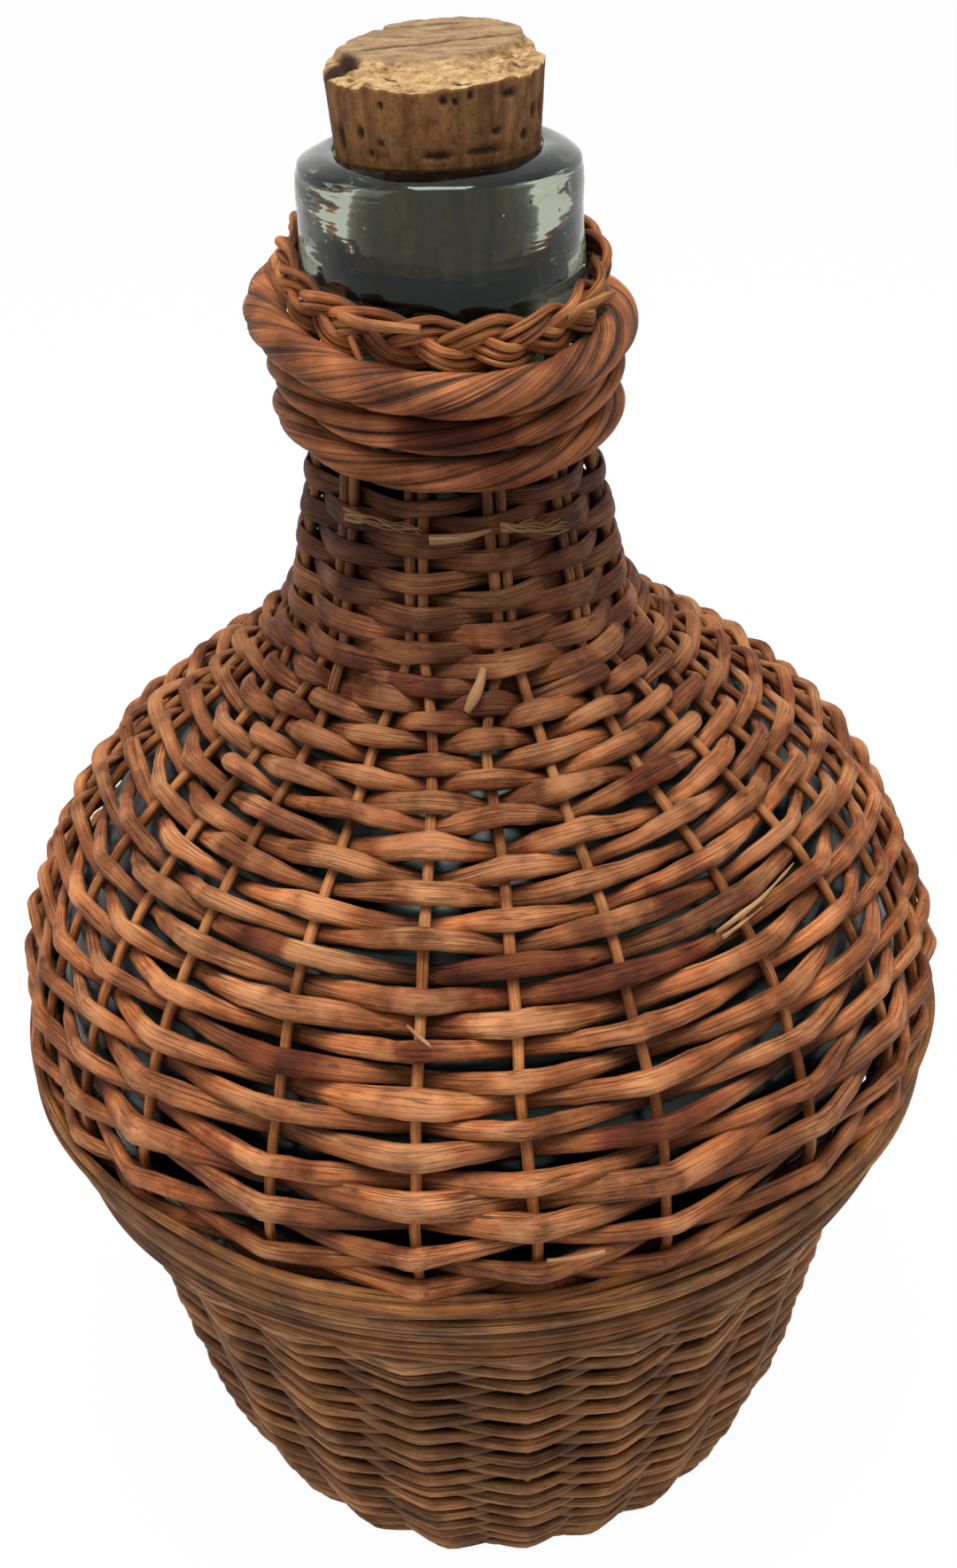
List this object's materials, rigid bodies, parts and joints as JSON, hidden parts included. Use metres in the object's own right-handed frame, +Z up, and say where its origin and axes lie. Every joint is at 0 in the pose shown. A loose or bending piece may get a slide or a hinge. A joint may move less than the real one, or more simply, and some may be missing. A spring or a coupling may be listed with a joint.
{
  "type": "wicker-covered demijohn",
  "caption": "Glass demijohn in a woven willow cover, with a tapered cork that pulls out, a plaited collar ring, a rod wound on the neck and a belted basket foot.",
  "frame": {"origin": "centre of the foot, on the floor", "axes": "+Z up along the bottle's axis, front towards -Y"},
  "size_m": [0.2281, 0.2282, 0.3733],
  "materials": {
    "glass": "thick pale aqua glass with small bubbles",
    "cork": "dry cracked cork",
    "willow": "aged red-brown willow, satin",
    "neck_willow": "dark split willow, satin",
    "peeled_willow": "lighter willow uprights, satin",
    "belt_willow": "yellowish willow, satin",
    "basket_willow": "grey-brown willow, dry"
  },
  "bodies": {
    "root": {"base_disc": "basket_willow", "base_sticks_lower": "peeled_willow", "base_sticks_upper": "peeled_willow", "basket_wall": "basket_willow", "belt_rod_1": "belt_willow", "belt_rod_2": "belt_willow", "belt_rod_3": "belt_willow", "belt_rod_4": "belt_willow", "belt_rod_5": "belt_willow", "belt_rod_6": "belt_willow", "foot_border": "basket_willow", "glass_bottle": "glass", "lower_stakes": "peeled_willow", "neck_plait": "willow", "neck_rope": "willow", "upper_stakes": "peeled_willow", "weaver_01_neck": "neck_willow", "weaver_02_neck": "neck_willow", "weaver_03_neck": "neck_willow", "weaver_04_neck": "neck_willow", "weaver_05_neck": "neck_willow", "weaver_06_neck": "neck_willow", "weaver_07_neck": "neck_willow", "weaver_08_neck": "neck_willow", "weaver_09_shoulder": "willow", "weaver_10_shoulder": "willow", "weaver_11_shoulder": "willow", "weaver_12_shoulder": "willow", "weaver_13_shoulder": "willow", "weaver_14_shoulder": "willow", "weaver_15_belly": "willow", "weaver_16_belly": "willow", "weaver_17_belly": "willow", "weaver_18_belly": "willow", "weaver_19_belly": "willow", "weaver_20_belly": "willow", "weaver_21_belly": "willow", "weaver_22_belly": "willow", "weaver_23_belly": "willow", "weaver_24_belly": "willow", "weaver_25_belly": "willow", "weaver_26_belly": "willow", "weaver_27_belly": "willow", "weaver_28_belly": "willow", "weaver_29_belly": "willow", "weaver_30_belly": "willow", "weaver_31_belly": "willow", "weaver_32_belly": "willow", "weaver_33_belly": "willow", "weaver_34_belly": "willow", "weaver_35_belly": "willow", "weaver_36_belly": "willow"},
    "cork": {"cork": "cork"}
  },
  "joints": [
    {"name": "cork_pull", "type": "slide", "parent": "root", "child": "cork", "axis": [0, 0, 1], "range_m": [0, 0.06]}
  ]
}
